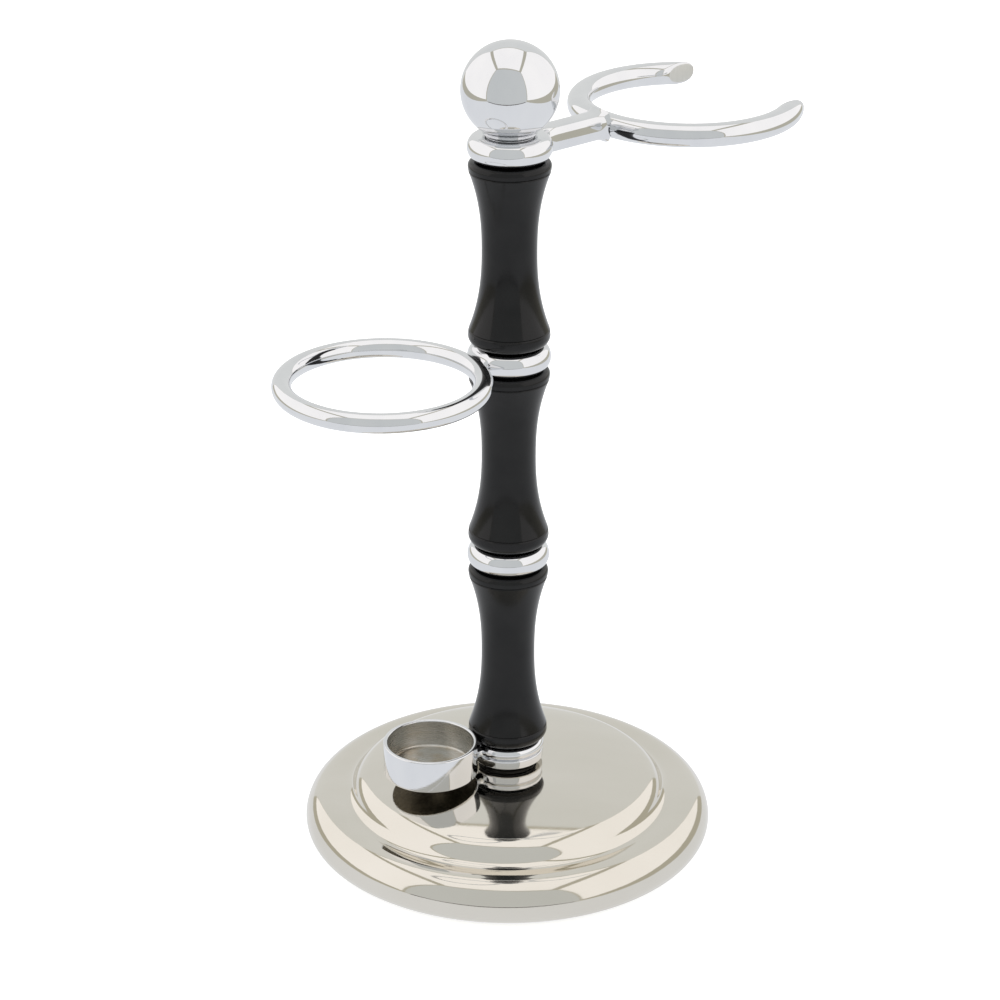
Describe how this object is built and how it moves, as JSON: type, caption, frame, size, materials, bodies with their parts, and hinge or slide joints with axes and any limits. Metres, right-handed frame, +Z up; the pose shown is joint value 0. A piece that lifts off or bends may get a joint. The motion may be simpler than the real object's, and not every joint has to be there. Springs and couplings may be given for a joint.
{
  "type": "shaving stand",
  "caption": "Free-standing wet-shaving stand: weighted domed base, waisted black column on a tie rod, razor cup, razor ring and open brush fork that swivel.",
  "frame": {"origin": "centre of the pad's underside, on the column's axis, on the surface that the stand rests on", "axes": "+Z up along the column; the razor ring and cup point towards -X and -Y, the brush fork towards +X and +Y"},
  "size_m": [0.0865, 0.0795, 0.1409],
  "materials": {
    "chrome": "mirror chrome plate",
    "polished_nickel": "mirror polish, slightly warm",
    "black_resin": "semi-gloss",
    "cast_iron": "raw casting",
    "black_foam": "matt",
    "zinc_steel": "zinc plate",
    "black_fibre": "matt"
  },
  "bodies": {
    "stand": {"base_shell": "polished_nickel", "base_ballast": "cast_iron", "base_pad": "black_foam", "tie_rod": "zinc_steel", "rod_nut": "zinc_steel", "lock_washer": "zinc_steel", "flat_washer": "zinc_steel", "base_gasket": "black_fibre", "lower_segment": "black_resin", "plain_collar": "chrome", "middle_segment": "black_resin", "upper_segment": "black_resin"},
    "cup_holder": {"cup_collar": "chrome", "razor_cup": "chrome"},
    "ring_holder": {"ring_collar": "chrome", "razor_ring": "chrome"},
    "fork_holder": {"fork_collar": "chrome", "fork_arm": "chrome", "brush_fork": "chrome"},
    "finial_seat": {"finial_washer": "zinc_steel"},
    "finial": {"ball_finial": "chrome"}
  },
  "joints": [
    {"name": "cup_swivel", "type": "hinge", "parent": "stand", "child": "cup_holder", "pos_m": [0, 0, 0.0162], "axis": [0, 0, 1], "continuous": true},
    {"name": "ring_swivel", "type": "hinge", "parent": "stand", "child": "ring_holder", "pos_m": [0, 0, 0.088], "axis": [0, 0, 1], "continuous": true},
    {"name": "fork_swivel", "type": "hinge", "parent": "stand", "child": "fork_holder", "pos_m": [0, 0, 0.1233], "axis": [0, 0, 1], "continuous": true},
    {"name": "finial_turn", "type": "hinge", "parent": "stand", "child": "finial_seat", "pos_m": [0, 0, 0.1252], "axis": [0, 0, 1], "range_deg": [0, 2700]},
    {"name": "finial_lift", "type": "slide", "parent": "finial_seat", "child": "finial", "axis": [0, 0, 1], "range_m": [0, 0.006]}
  ],
  "couplings": [
    {"joint": "finial_turn", "follows": "finial_lift", "rad_per_m": 7854}
  ]
}
